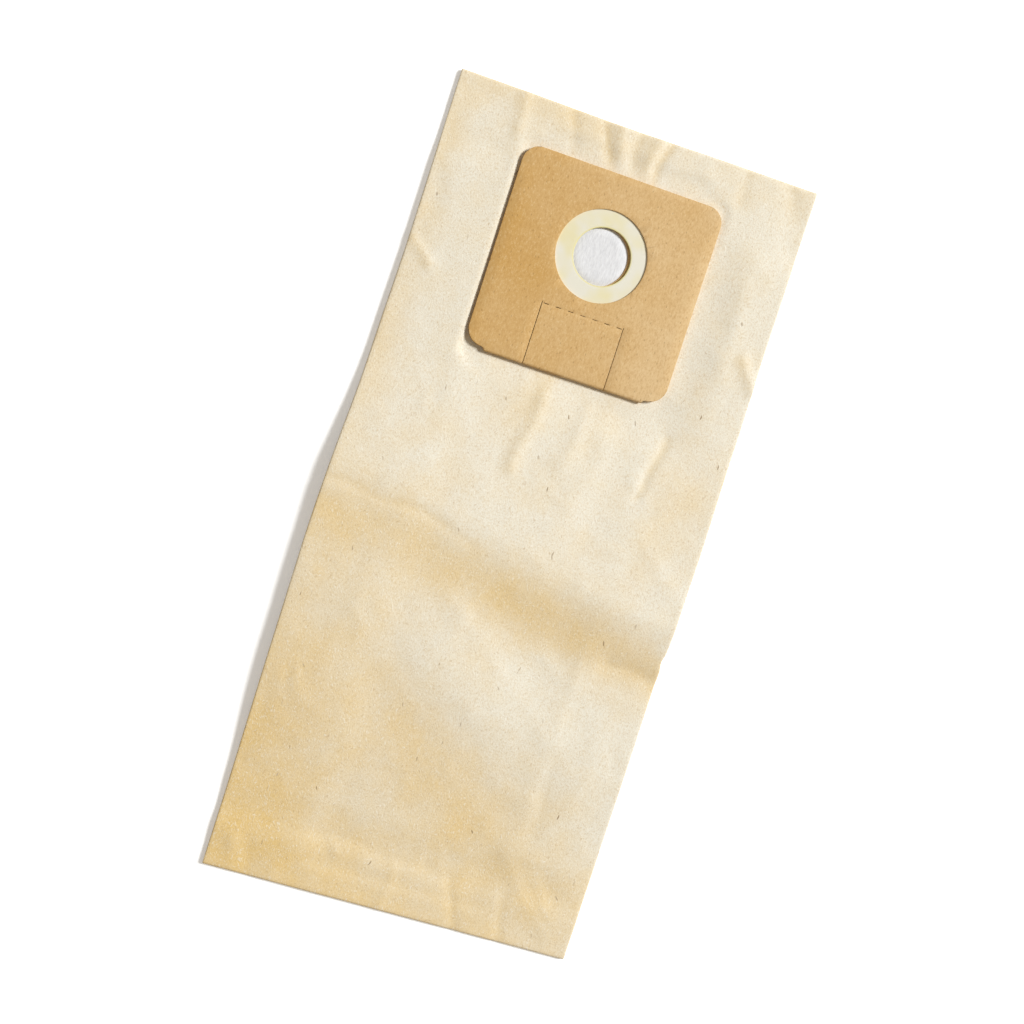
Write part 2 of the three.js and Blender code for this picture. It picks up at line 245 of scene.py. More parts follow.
# Soft folds that the paper keeps: the points along each, its half width and height, below zero for a valley
FOLDS = [
    # above the card
    (((-23, 256), (-20, 244), (-12, 220)), 2.8, -1.10),
    (((-11, 256), (-9, 244), (-4, 220)), 4.0, 0.80),
    (((2, 256), (1, 222)), 2.6, -0.50),
    (((14, 256), (13, 244), (10, 220)), 3.4, 0.90),
    (((20, 256), (19, 244), (16, 222)), 2.4, -1.00),
    (((-43, 252), (-39, 224)), 3.4, -0.60),
    (((-74, 254), (-71, 222)), 3.0, 0.50),
    (((-116, 242), (-84, 238)), 12.0, -0.40),
    (((100, 256), (112, 210)), 8.0, -0.70),
    (((68, 252), (72, 228)), 4.0, -0.50),
    # below the card
    (((-7, 98), (-9, 70), (-11, 36)), 4.5, 1.10),
    (((18, 96), (20, 74), (14, 46)), 6.0, 0.90),
    (((71, 78), (69, 62), (65, 40)), 2.6, -0.90),
    (((33, 90), (34, 50), (30, 16)), 11.0, 0.75),
    (((-50, 60), (-30, 20)), 14.0, 0.40),
    # beside the card
    (((-112, 146), (-98, 135)), 3.2, 0.90),
    (((104, 140), (116, 121)), 3.2, 0.95),
    (((122, 30), (122, 66)), 30.0, 2.80),
    (((88, 178), (92, 160), (94, 128)), 8.0, 0.55),
    (((-72, 226), (-72, 198)), 5.0, 0.40),
    (((-112, 222), (-110, 146)), 7.0, -0.50),
    (((80, 14), (108, -12)), 9.0, 0.40),
    # along the half fold
    (((-119, -1), (-84, -6), (-40, -13), (-22, -20)), 2.6, -0.50),
    (((84, -64), (118, -68)), 6.0, -1.10),
    # on the swollen half
    (((66, -56), (67, -90), (68, -124)), 4.0, 0.30),
    (((68, -130), (70, -180)), 4.0, -0.35),
    (((92, -108), (88, -154)), 10.0, 0.60),
    (((-20, -56), (30, -88), (60, -118)), 9.0, 0.50),
    (((-50, -104), (10, -140), (75, -172), (104, -196)), 8.0, 0.22),
    (((44, -184), (104, -208)), 10.0, 0.50),
    (((-114, -84), (-112, -182)), 9.0, -0.60),
    (((-70, -60), (-84, -110)), 9.0, 0.40),
    # over the lower flap
    (((-118, -223), (118, -226)), 12.0, 0.85),
    (((-58, -215), (36, -216)), 4.0, -0.35),
    (((33, -218), (41, -250)), 3.0, -0.60),
    (((-6, -218), (-6, -254)), 2.6, 0.40),
    (((60, -198), (98, -242)), 6.0, 0.45),
    (((68, -222), (69, -258)), 3.0, -0.50),
    (((-96, -224), (-90, -252)), 5.0, -0.40),
]

CREASE = 1.5  # 2 makes a fold's ridge round, and 1 makes it sharp
DEEPEST = 1.4  # no valley is deeper than this, so that no ply comes through the one above it
DEEPEST_ROUND = 0.2
UNEVEN = [(34, 0.26, (0, 0, 0)), (11, 0.09, (40, 7, 3))]  # how far apart, how tall, and where in the noise
LONG_STRAY = (1.6, 2.0)
SHORT_STRAY = 1.0

# Brown patches in the paper, partly painted shade where the crest's far side, the lower half's slopes and
# the light's fall-off make it darker: x, y, turn in degrees, half length, half breadth, depth
BROWN_AND_SHADE_PATCHES = [
    (-125, -200, 78, 150, 62, 0.80),
    (-20, -270, 0, 160, 52, 0.80),
    (-72, -222, 0, 46, 26, 0.50),
    (30, -46, -11, 100, 19, 0.66),
    (112, -64, -30, 30, 14, 0.45),
    (-80, -28, -8, 70, 24, 0.36),
    (-8, -146, -30, 84, 26, 0.48),
    (44, -196, -14, 110, 36, 0.46),
    (-125, 110, 90, 190, 22, 0.36),
    (-70, 252, 0, 80, 24, 0.35),
    (90, 258, 0, 90, 24, 0.20),
    (-14, 74, 90, 24, 12, 0.28),
    (94, 46, 90, 32, 26, 0.26),
]
PAINTED_FOLD_SHADE = 0.75  # painted shade on the side of a fold away from the light: how much browner it is, for its height over its half width
PAINTED_FOLD_SHADE_MOST = 0.36
FROM_LIGHT = (0.82, 0.57)  # the way to the light, the side on which the photo's folds are paler


def clamp(t):
    """Kept from 0 to 1."""
    return np.clip(t, 0.0, 1.0)


def smooth(t):
    """A soft step from 0 to 1."""
    t = clamp(t)
    return t * t * (3 - 2 * t)


def mix(a, b, t):
    """From a at 0 to b at 1."""
    return a + (b - a) * t


def soft_min(a, b, rounding):
    """The lesser of two values, with a rounded meeting."""
    t = clamp(0.5 + (b - a) / (2 * rounding))
    return mix(b, a, t) - rounding * t * (1 - t)


def openness(y):
    """0 at the pressed ends, 1 where the bag is open."""
    return smooth((FLAP_LINE - np.abs(y)) / PRESS_FADE)


def under_collar(y, below=SEAT_FADE_BELOW):
    """1 under the card, 0 past the fades above and below it."""
    return clamp(np.minimum((SEAT_TOP - y) / SEAT_FADE, 1 + (y - LIFT_START - SEAT_FADE_BELOW) / below))


def swell(x, y, place):
    """One soft oval rise."""
    at_x, at_y, turn, length, breadth, height = place
    turn = math.radians(turn)
    along = (x - at_x) * math.cos(turn) + (y - at_y) * math.sin(turn)
    beside = (y - at_y) * math.cos(turn) - (x - at_x) * math.sin(turn)
    return height * np.exp(-((along / length) ** 2) - (beside / breadth) ** 2)


def lift(x, y):
    """Height of the whole bag off the surface: the crest, and the swellings of the lower half."""
    across = smooth((x + HALF_WIDTH) / BAG_WIDTH)
    place, height, fall, drop = (mix(a, b, across) for a, b in zip(CREST_LEFT, CREST_RIGHT))
    below = place - y
    rise = clamp((LIFT_START - y) / (LIFT_START - place)) ** CREST_RISE
    rise = rise + np.maximum(0, below / RISE_PAST_CREST)
    falling = 1 - drop * smooth(mix(FALL_START, 1, below / fall))
    fallen = np.where(below > 0, falling, 1 - below / RISE_PAST_CREST)
    swollen = np.maximum(0, height * soft_min(rise, fallen, mix(*CREST_SOFT, across)))
    for spot in SWELLS:
        swollen = swollen + swell(x, y, spot)
    return np.where(y < LIFT_START, swollen * smooth((y + FLAP_LINE) / LAST_FALL), 0)


def settle(x, y, stack_height):
    """Height of a point of the open stack in the bag at rest."""
    beside_card = smooth((BESIDE_TO - x) / (BESIDE_TO - BESIDE_GUSSET)) * smooth(x / BESIDE_FROM)
    beside_card = beside_card * smooth(under_collar(y, BESIDE_FADE))
    share = mix(PRESSED_SHARE, 1, openness(y) * mix(1, BESIDE_SHARE, beside_card))
    level = FLAP_THICKNESS * (1 - openness(y)) + lift(x, y)
    seated = under_collar(y) * (level + FRONT_SKIN * share - CARD_SEAT)
    slack = (1 - under_collar(y)) * MIDDLE_SLACK * smooth((GLUE_LINE - np.abs(y)) / SEAT_FADE)
    inner = mix(BESIDE_GUSSET - SLACK_REACH, SEAT_EDGE, under_collar(y))
    between_gussets = smooth((BESIDE_GUSSET - np.abs(x)) / (BESIDE_GUSSET - inner))
    lowered = np.where(stack_height > MIDDLE_OF_STACK, between_gussets * (seated + slack), 0)
    return level + stack_height * share - lowered


def from_line(x, y, points):
    """Distance from a bent line."""
    nearest = np.full_like(x, BAG_LENGTH)
    for start, end in zip(points, points[1:]):
        run_x, run_y = end[0] - start[0], end[1] - start[1]
        along = clamp(((x - start[0]) * run_x + (y - start[1]) * run_y) / (run_x ** 2 + run_y ** 2))
        nearest = np.minimum(nearest, np.hypot(x - start[0] - along * run_x, y - start[1] - along * run_y))
    return nearest


def wander(x, y):
    """Folds in paper don't run straight: where they stray to, in long waves and in short ones.

    What x and y are divided by is a wave's length over 2 pi, in millimetres.
    """
    long_x = LONG_STRAY[0] * np.sin(y / 17 + 1.5 * np.sin(x / 29))
    long_y = LONG_STRAY[1] * np.sin(x / 19 + 1.3 * np.sin(y / 33) + 1)
    short_x = SHORT_STRAY * np.sin(y / 6.5 + x / 21 + 2)
    short_y = SHORT_STRAY * np.sin(x / 7 - y / 23)
    return x + (long_x + short_x), y + (long_y + short_y)


def relief(x, y):
    """The folds and the slight unevenness of the paper, none of it under the card."""
    at = [Vector((a, b, 0)) for a, b in zip(x, y)]
    height = 0
    for apart, tall, start in UNEVEN:
        height = height + tall * np.array([noise.noise(p / apart + Vector(start)) for p in at])
    at_x, at_y = wander(x, y)
    for points, half_width, tall in FOLDS:
        height = height + tall * np.exp(-((from_line(at_x, at_y, points) / half_width) ** CREASE))
    under_card = clamp((SEAT_EDGE + SEAT_FADE_BESIDE - np.abs(x)) / SEAT_FADE_BESIDE) * under_collar(y)
    deepest = DEEPEST * mix(PRESSED_SHARE, 1, openness(y))
    return -soft_min(-height, deepest, DEEPEST_ROUND) * (1 - under_card)


def brown_and_painted_shade(x, y):
    """How brown the paper is, from 0 to 1: partly its tone, partly painted shade on the crest's far side,
    the lower half's slopes and each fold's side away from the light.
    """
    plain = np.ones_like(x)
    for place in BROWN_AND_SHADE_PATCHES:
        plain = plain * (1 - swell(x, y, place))
    # painted shade: each fold's side away from the light is made browner
    at_x, at_y = wander(x, y)
    for points, half_width, tall in FOLDS:
        aside = half_width / 2 * math.copysign(1, tall)
        far = from_line(at_x + aside * FROM_LIGHT[0], at_y + aside * FROM_LIGHT[1], points) / half_width
        plain = plain * (1 - min(PAINTED_FOLD_SHADE_MOST, PAINTED_FOLD_SHADE * abs(tall) / half_width) * np.exp(-(far ** 2)))
    return 1 - plain


def steps(along, table):
    """The sum of soft steps, each from one place to another and so much."""
    return sum(much * smooth((along - start) / (end - start)) for start, end, much in table)


def hump(along, place, reach):
    """1 at a place, and softly down to 0 on both sides of it."""
    return np.exp(-((along - place) / reach) ** 2)


def stray(x, y):
    """Where a point of the bag lies: its outline isn't quite straight, and bends a little at the crest."""
    shift = steps(y, SHIFT_STEPS) + BOW * hump(y, *BOW_PLACE)
    kink = KINK * smooth((x - KINK_FROM) / (HALF_WIDTH - KINK_FROM)) * hump(y, *KINK_PLACE)
    upper = UPPER_SLANT * x + UPPER_SET - UPPER_DIP * hump(x, *UPPER_DIP_PLACE)
    lower = LOWER_SLANT * x + LOWER_SET
    upper = upper * smooth((y - END_FROM) / END_REACH)
    lower = lower * smooth((-END_FROM - y) / END_REACH)
    return x * (1 + steps(y, WIDEN_STEPS)) + shift + kink, y + upper + lower


def places(start, end, step):
    """Even places from start to end, about a step apart."""
    count = max(1, round(abs(end - start) / step))
    return [start + (end - start) * i / count for i in range(count + 1)]


def half_round(x, z, radius, side):
    """Points round a fold from below to above, without its two ends."""
    turns = [math.pi * i / FOLD_STEPS for i in range(1, FOLD_STEPS)]
    return [(x + side * radius * math.sin(t), z - radius * math.cos(t)) for t in turns]


def skin(depth):
    """A ply's closed outline, so deep inside the paper's own: places across, heights in the open stack."""
    back = BACK_SKIN + depth
    side = half_round(NOSE_X, BACK_SKIN + SIDE_ROUND, SIDE_ROUND - depth, 1)
    side += [(x, LOWER_LEAF_SKIN - depth) for x in places(NOSE_X, GUSSET_EDGE, COARSE)]
    side += half_round(GUSSET_EDGE, MIDDLE_OF_STACK, PLY_GAP / 2 + depth, -1)
    side += [(x, UPPER_LEAF_SKIN + depth) for x in places(GUSSET_EDGE, NOSE_X, COARSE)]
    side += half_round(NOSE_X, UPPER_LEAF_SKIN + SIDE_ROUND, SIDE_ROUND - depth, 1)
    front = [(x, FRONT_SKIN - depth) for x in places(NOSE_X, -NOSE_X, FINE)]
    if depth > 0:
        below = [(x, back) for x in places(-NOSE_X, NOSE_X, COARSE)]
    else:
        below = [(x, back) for x in places(-NOSE_X, SEAM_NEAR, COARSE)]
        below += [(SEAM_NEAR + SEAM_STEP, 0), (SEAM_FAR, 0)]
        below += [(x, back) for x in places(SEAM_FAR + SEAM_RETURN, NOSE_X, COARSE)]
    return below + side + front + [(-x, z) for x, z in reversed(side)]


def stations(end, folded):
    """Rows along the bag as (y, turn): over the front and, where folded, round each end and back under."""
    rows = [(y, 0.0) for y in places(end, -end, FINE)]
    if not folded:
        return rows
    under = [(y, math.pi) for y in places(FLAP_LINE, end, FLAP_STEP)]
    nose = [(end, math.pi * (1 - i / NOSE_STEPS)) for i in range(1, NOSE_STEPS)]
    top = under + nose
    return top + rows + [(-y, turn) for y, turn in reversed(top)]


def lay(x, height, y, turn):
    """Where the points of a stack lie, in millimetres."""
    flat = turn == 0
    rise = relief(x, y) * height / FRONT_SKIN
    side = np.sign(y)
    turned = (1 - np.cos(turn)) / 2
    share = mix(PRESSED_SHARE, FLAP_SHARE, turned)
    reach = FLAP_CLEARANCE * turned + height * share
    lie_y = np.where(flat, y, y + side * reach * np.sin(turn))
    lie_z = np.where(flat, settle(x, y, height), FLAP_THICKNESS + reach * np.cos(turn))
    lie_z = lie_z + rise * np.maximum(0, np.cos(turn))
    stray_x, stray_y = stray(x, lie_y)
    return np.stack([stray_x, stray_y, lie_z], axis=1)


def finish_mesh(name, bm, material, sharp=40):
    """A mesh in millimetres becomes a piece in metres."""
    bmesh.ops.transform(bm, matrix=Matrix.Scale(MM, 4), verts=bm.verts)
    mesh = bpy.data.meshes.new(name)
    bm.to_mesh(mesh)
    bm.free()
    mesh.shade_smooth()
    mesh.set_sharp_from_angle(angle=math.radians(sharp))
    mesh.materials.append(material)
    piece = bpy.data.objects.new(name, mesh)
    bpy.context.scene.collection.objects.link(piece)
    return piece


def drawn_out(outline, rows):
    """An outline across the bag, drawn out along -Y into rows that lie one unit apart."""
    bm = bmesh.new()
    ring = [bm.verts.new((x, 0, z)) for x, z in outline]
    joined = [bm.edges.new(pair) for pair in zip(ring, ring[1:] + ring[:1])]
    bmesh.ops.spin(
        bm, geom=ring + joined, cent=(0, 0, 0), axis=(0, 1, 0), dvec=(0, -1, 0), angle=0, steps=rows - 1
    )
    return bm


def cut_bag_hole(bm, inside):
    """Takes out the faces whose corners are all inside, and draws their rim to a true circle."""
    gone = [f for f in bm.faces if all(inside[v.index] for v in f.verts)]
    bmesh.ops.delete(bm, geom=gone, context="FACES")
    rim = {v for e in bm.edges if e.is_boundary for v in e.verts}
    for vert in rim:
        out = Vector((vert.co.x - REAR_HOLE_SHIFT, vert.co.y - HOLE_Y))
        if out.length < BAG_HOLE + BAG_RIM_REACH:
            out *= BAG_HOLE / out.length
            vert.co.x = REAR_HOLE_SHIFT + out.x
            vert.co.y = HOLE_Y + out.y


def tube(name, rows, depth, thickness, material):
    """One ply of the bag: its outline drawn out along the rows, and laid as the bag lies."""
    bm = drawn_out(skin(depth), len(rows))
    x, row, height = np.array([v.co for v in bm.verts]).T
    y, turn = np.array(rows)[np.rint(-row).astype(int)].T
    on_front = (height > FRONT_SKIN - depth - SMALL) & (turn == 0)
    from_hole = np.hypot(x - REAR_HOLE_SHIFT, y - HOLE_Y)
    placed = lay(x, height, y, turn)
    if depth > 0:
        placed[:, 2] += np.where(on_front, FLEECE_BULGE * smooth((BAG_HOLE - from_hole) / BULGE_FADE), 0)
    # the paper's brown tone and its painted shade, kept on each point
    brown = bm.verts.layers.float.new("brown_and_painted_shade")
    bm.verts.index_update()
    for vert, place, warm in zip(bm.verts, placed, brown_and_painted_shade(x, y)):
        vert.co = place
        vert[brown] = warm
    if depth == 0:
        cut_bag_hole(bm, on_front & (from_hole < BAG_HOLE + BAG_HOLE_CUT))
    bmesh.ops.recalc_face_normals(bm, faces=bm.faces)
    piece = finish_mesh(name, bm, material)
    ply = piece.modifiers.new("ply", "SOLIDIFY")
    ply.thickness = thickness * MM
    ply.offset = -1
    return piece


def circle(x, y, radius, count):
    """A closed outline of so many points."""
    turns = [2 * math.pi * i / count for i in range(count)]
    return [(x + radius * math.cos(t), y + radius * math.sin(t)) for t in turns]


def arc(x, y, radius, start, end, count):
    """Points from one direction to another, in degrees, so many steps apart."""
    turns = [math.radians(start + (end - start) * i / count) for i in range(count + 1)]
    return [(x + radius * math.cos(t), y + radius * math.sin(t)) for t in turns]


def distinct(points):
    """A closed outline without points that coincide, which triangle_fill can't take."""
    return [p for i, p in enumerate(points) if math.dist(p, points[i - 1]) > SMALL]


def slot(x, y, width, height):
    """A slit with rounded ends, along its longer side."""
    radius = min(width, height) / 2
    reach_x, reach_y = width / 2 - radius, height / 2 - radius
    corners = []
    for i, (side_x, side_y) in enumerate([(1, 1), (-1, 1), (-1, -1), (1, -1)]):
        at_x, at_y = x + side_x * reach_x, y + side_y * reach_y
        corners += arc(at_x, at_y, radius, 90 * i, 90 * i + 90, SLIT_STEPS)
    return distinct(corners)


def card_warp(x, y):
    """How far the collar lifts, which it does slightly towards its upper right corner."""
    across = smooth((x - CARD_LIFT_FROM[0]) / CARD_LIFT_OVER[0])
    along = smooth((y - HOLE_Y - CARD_LIFT_FROM[1]) / CARD_LIFT_OVER[1])
    return float(CARD_LIFT * across * along)


def on_blank(y):
    """Place along the flat blank of a point of the front leaf's outline, which may lie on its bend."""
    return y if y >= BEND_Y else BEND_Y - BEND_RADIUS * math.asin(min(1, (BEND_Y - y) / BEND_OUTER))


def to_rear(y):
    """Place along the flat blank, past the bend, that comes to lie under a place on the front leaf."""
    return 2 * BEND_Y - BEND_LENGTH - y


def card_outline():
    """The blank's outline: one side of the front leaf, repeated for the rear leaf and for the other side."""
    low_corner = FOLD_INSET - FOLD_PROUD
    low_y = TRIMMED_FOLD_Y + FOLD_PROUD
    notch = arc(CARD_HALF - low_corner, TRIMMED_FOLD_Y, FOLD_PROUD, 180, 90, NOTCH_STEPS)
    edge = [(x, on_blank(y)) for x, y in notch[1:]]
    edge += arc(CARD_HALF - low_corner, low_y + low_corner, low_corner, -90, 0, CORNER_STEPS)
    edge += arc(CARD_HALF - CARD_CORNER, CARD_TOP - CARD_CORNER, CARD_CORNER, 0, 90, CORNER_STEPS)
    right = [(x, to_rear(y)) for x, y in reversed(edge)] + edge
    return distinct(right + [(-x, y) for x, y in reversed(right)])


def card_openings():
    """Outlines of both leaves' holes, the tongue's side cuts and its dashes, on the flat blank."""
    openings = [
        circle(-CARD_SHIFT, HOLE_Y - FRONT_HOLE_DROP, FRONT_HOLE / 2 - FRONT_HOLE_TRIM, FRONT_HOLE_SIDES),
        circle(REAR_HOLE_X - CARD_SHIFT, to_rear(REAR_HOLE_Y), REAR_HOLE / 2, REAR_HOLE_SIDES),
    ]
    cut_top = PERFORATION + CUT_PAST_DASHES
    cut_end = BEND_Y - BEND_LENGTH / 2
    for x in (-TAB_WIDTH / 2, TAB_WIDTH / 2):
        openings.append(slot(x, (cut_top + cut_end) / 2, CUT_WIDTH, cut_top - cut_end))
    pitch = (TAB_WIDTH - 2 * DASH_FROM_CUT) / (DASH_COUNT - 1)
    for i in range(DASH_COUNT):
        openings.append(slot(DASH_FROM_CUT - TAB_WIDTH / 2 + i * pitch, PERFORATION, DASH_LENGTH, CUT_WIDTH))
    return openings


def in_tongue(place):
    """Whether a place on the blank is at the tongue, whose narrow slits take a small bevel only."""
    beside, above = TAB_MARGIN
    return abs(place.x) < TAB_WIDTH / 2 + beside and BEND_Y - BEND_LENGTH < place.y < PERFORATION + above


def flat_blank():
    """The card before it is folded: a flat slab with its openings, divided so that it can bend."""
    bm = bmesh.new()
    rims = []
    for loop in [card_outline()] + card_openings():
        verts = [bm.verts.new((x, y, 0)) for x, y in loop]
        rims += [bm.edges.new(pair) for pair in zip(verts, verts[1:] + verts[:1])]
    bmesh.ops.triangle_fill(bm, edges=rims, use_beauty=True, normal=(0, 0, 1))
    leaf = places(*CARD_STRIPS_Y, CARD_STRIP)
    bend = [BEND_Y - BEND_LENGTH * i / BEND_ROWS for i in range(BEND_ROWS + 1)]
    cuts = [((x, 0, 0), (1, 0, 0)) for x in places(*CARD_STRIPS_X, CARD_STRIP)]
    cuts += [((0, y, 0), (0, 1, 0)) for y in leaf + [to_rear(y) for y in leaf] + bend]
    for place, normal in cuts:
        bmesh.ops.bisect_plane(
            bm, geom=bm.verts[:] + bm.edges[:] + bm.faces[:], dist=1e-4, plane_co=place, plane_no=normal
        )
    made = bmesh.ops.extrude_face_region(bm, geom=bm.faces[:], use_keep_orig=True)
    raised = [g for g in made["geom"] if isinstance(g, bmesh.types.BMVert)]
    bmesh.ops.translate(bm, verts=raised, vec=(0, 0, CARD_THICKNESS))
    bmesh.ops.recalc_face_normals(bm, faces=bm.faces)
    bm.normal_update()
    sharp = [e for e in bm.edges if e.is_manifold and e.calc_face_angle() > SHARP_EDGE]
    rims = [e for e in sharp if abs(e.verts[0].co.z - e.verts[1].co.z) < SMALL]
    for bevel, slits in ((CARD_BEVEL, False), (SLIT_BEVEL, True)):
        chosen = [e for e in rims if e.is_valid and slits == all(in_tongue(v.co) for v in e.verts)]
        bmesh.ops.bevel(bm, geom=chosen, offset=bevel, segments=2, profile=0.5, affect="EDGES", material=-1)
    return bm


def folded_double(x, along, level):
    """Place along the bag, and height, of a point of the flat blank once the card is folded."""
    if along >= BEND_Y:
        return along, FRONT_LEAF_Z + level
    if along > BEND_Y - BEND_LENGTH:
        turn = (BEND_Y - along) / BEND_RADIUS
        return BEND_Y - (BEND_INNER + level) * math.sin(turn), BEND_Z + (BEND_INNER + level) * math.cos(turn)
    y = to_rear(along)
    from_hole = math.dist((x, y), (REAR_HOLE_X, REAR_HOLE_Y))
    dip = REAR_DISH * float(smooth((DISH_EDGE - from_hole) / DISH_FADE))
    return y, REAR_LEAF_Z + CARD_THICKNESS - level - dip


def collar(material):
    """One card blank with its holes and slits, folded double along its lower edge."""
    bm = flat_blank()
    for vert in bm.verts:
        x, along, level = vert.co
        y, z = folded_double(x + CARD_SHIFT, along, level)
        vert.co = (x + CARD_SHIFT, y, z + card_warp(x, y))
    return finish_mesh("collar_card_folded", bm, material, sharp=30)


def seal(material):
    """The flat ring, with a rounded lip round its hole."""
    outer = FRONT_HOLE / 2 + SEAL_GRIP
    inner = SEAL_HOLE / 2
    lip = SEAL_THICKNESS / 2
    profile = [(outer, SEAL_EASE / 2), (outer, SEAL_THICKNESS - SEAL_EASE / 2)]
    profile.append((outer - SEAL_EASE, SEAL_THICKNESS))
    profile += [(r, SEAL_THICKNESS) for r in places(outer - SEAL_STRIP, inner + SEAL_FLAT_END, SEAL_STRIP)]
    for turn in range(90, -90 - LIP_TURN, -LIP_TURN):
        around = math.radians(turn)
        profile.append((inner + lip * (1 - math.cos(around)), lip + lip * math.sin(around)))
    profile.append((outer - SEAL_EASE, 0))
    bm = bmesh.new()
    verts = [bm.verts.new((r, 0, z)) for r, z in profile]
    joined = [bm.edges.new(pair) for pair in zip(verts, verts[1:] + verts[:1])]
    bmesh.ops.spin(
        bm, geom=verts + joined, cent=(0, 0, 0), axis=(0, 0, 1), angle=2 * math.pi, steps=SEAL_SIDES,
        use_merge=True
    )
    bmesh.ops.recalc_face_normals(bm, faces=bm.faces)
    for vert in bm.verts:
        x, y = vert.co.x + SEAL_SHIFT[0], vert.co.y + HOLE_Y + SEAL_SHIFT[1]
        vert.co = (x, y, vert.co.z + SEAL_Z + SEAL_RISE + card_warp(x, y))
    return finish_mesh("sealing_ring_flat", bm, material, sharp=50)


def linear(hex_colour):
    """A colour written as sRGB hex, in linear light."""
    parts = [int(hex_colour[i:i + 2], 16) / 255 for i in (0, 2, 4)]
    return [c / 12.92 if c <= 0.04045 else ((c + 0.055) / 1.055) ** 2.4 for c in parts] + [1.0]


def add(tree, kind, feeds=None, take=None, **settings):
    """Adds a node with its settings, and feeds its inputs from other nodes' outputs or with plain values.

    Gives the output named by take, or the node's first one in use.
    """
    made = tree.nodes.new("ShaderNode" + kind)
    for name, value in settings.items():
        setattr(made, name, value)
    for socket, source in (feeds or {}).items():
        if isinstance(source, bpy.types.NodeSocket):
            tree.links.new(source, made.inputs[socket])
        else:
            made.inputs[socket].default_value = source
    if take:
        return made.outputs[take]
    return next((output for output in made.outputs if output.enabled), None)


FACTOR, FIRST, SECOND = 0, 6, 7  # inputs of a Mix node set to colours
IOR = 1.5  # cellulose, polyester and rubber all lie near it


def new_material(name):
    """A material, its nodes, and the object's own coordinates in millimetres.

    A pattern's Scale is how many of its cells lie in one millimetre, so it is 1 over their real size.
    """
    material = bpy.data.materials.new(name)
    material.use_nodes = True
    tree = material.node_tree
    tree.nodes.clear()
    metres = add(tree, "TexCoord", take="Object")
    return material, tree, add(tree, "Mapping", {"Vector": metres, "Scale": (1000, 1000, 1000)})


def finish_surface(tree, colour, height, tall, roughness, sheen=0.0):
    """The shader with its colour and its bump, which is so many millimetres tall."""
    bump = add(tree, "Bump", {"Height": height, "Distance": tall * MM, "Strength": 1.0})
    feeds = {"Base Color": colour, "Normal": bump, "Roughness": roughness, "Sheen Weight": sheen, "IOR": IOR}
    add(tree, "OutputMaterial", {"Surface": add(tree, "BsdfPrincipled", feeds)})


